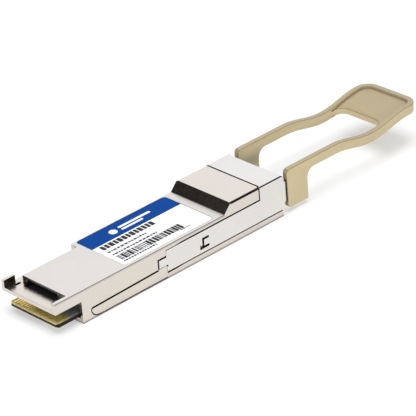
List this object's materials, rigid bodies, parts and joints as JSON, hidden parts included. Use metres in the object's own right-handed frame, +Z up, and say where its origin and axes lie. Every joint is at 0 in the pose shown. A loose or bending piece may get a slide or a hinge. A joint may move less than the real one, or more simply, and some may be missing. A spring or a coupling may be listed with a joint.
{
  "type": "pluggable optical transceiver module",
  "caption": "Slim metal plug-in module with a card edge at one end, an optical port in a raised nose at the other, and a sliding latch with a looped pull tab.",
  "frame": {"origin": "centre of the bounding box in plan, on the flat underside of the housing", "axes": "+Y from the card edge to the pull tab, +Z up out of the labelled face, +X to the right when looking from the card edge towards the tab"},
  "size_m": [0.0184, 0.1216, 0.0114],
  "materials": {
    "plated_casting": "satin nickel plate over a zinc die casting",
    "sheet_steel": "bright nickel-plated folded sheet steel",
    "spring_steel": "plain drawn spring steel",
    "screw_steel": "nickel-plated steel",
    "contact_gold": "hard gold plate over copper",
    "board_laminate": "glass-epoxy laminate with green solder resist",
    "tab_plastic": "fine-textured beige moulded plastic",
    "port_plastic": "black moulded plastic",
    "ferrule_resin": "glass-filled moulded resin with polished end",
    "lens_resin": "clear amber moulded resin",
    "ribbon_coating": "aqua coated fibre ribbon",
    "chip_package": "black moulded chip package",
    "bare_die": "polished semiconductor",
    "ceramic": "fired ceramic with tinned ends",
    "ferrite": "moulded metal-powder block",
    "gap_pad": "soft silicone gap filler",
    "absorber_foam": "black carbon-filled absorber foam",
    "conductive_gasket": "silver-filled elastomer bead",
    "label_film": "printed satin polyester label"
  },
  "bodies": {
    "housing": {"lower_housing": "plated_casting", "top_cover": "plated_casting", "label": "label_film", "absorber_foam": "absorber_foam", "emi_gasket": "conductive_gasket", "cover_screw_left": "screw_steel", "cover_screw_right": "screw_steel", "circuit_board": "board_laminate", "contact_pads_upper": "contact_gold", "contact_pads_lower": "contact_gold", "retimer_transmit": "chip_package", "retimer_receive": "chip_package", "microcontroller": "chip_package", "crystal_oscillator": "screw_steel", "power_inductor_1": "ferrite", "power_inductor_2": "ferrite", "laser_driver": "bare_die", "receiver_amplifier": "bare_die", "laser_array": "bare_die", "photodiode_array": "bare_die", "decoupling_capacitor_1": "ceramic", "decoupling_capacitor_2": "ceramic", "decoupling_capacitor_3": "ceramic", "decoupling_capacitor_4": "ceramic", "decoupling_capacitor_5": "ceramic", "decoupling_capacitor_6": "ceramic", "thermal_pad_retimers": "gap_pad", "thermal_pad_driver": "gap_pad", "board_thermal_pad": "gap_pad", "lens_block": "lens_resin", "fibre_ribbon": "ribbon_coating", "mt_ferrule": "ferrule_resin", "ferrule_clip": "spring_steel", "optical_receptacle": "port_plastic", "guide_pin_left": "spring_steel", "guide_pin_right": "spring_steel", "return_spring_left": "spring_steel", "return_spring_right": "spring_steel"},
    "latch": {"latch_slider": "sheet_steel", "pull_tab": "tab_plastic"}
  },
  "joints": [
    {"name": "latch_slide", "type": "slide", "parent": "housing", "child": "latch", "axis": [0, 1, 0], "range_m": [0, 0.002], "stiffness_N_per_m": 300, "springref_m": -0.001, "deforming": ["return_spring_left", "return_spring_right"]}
  ]
}
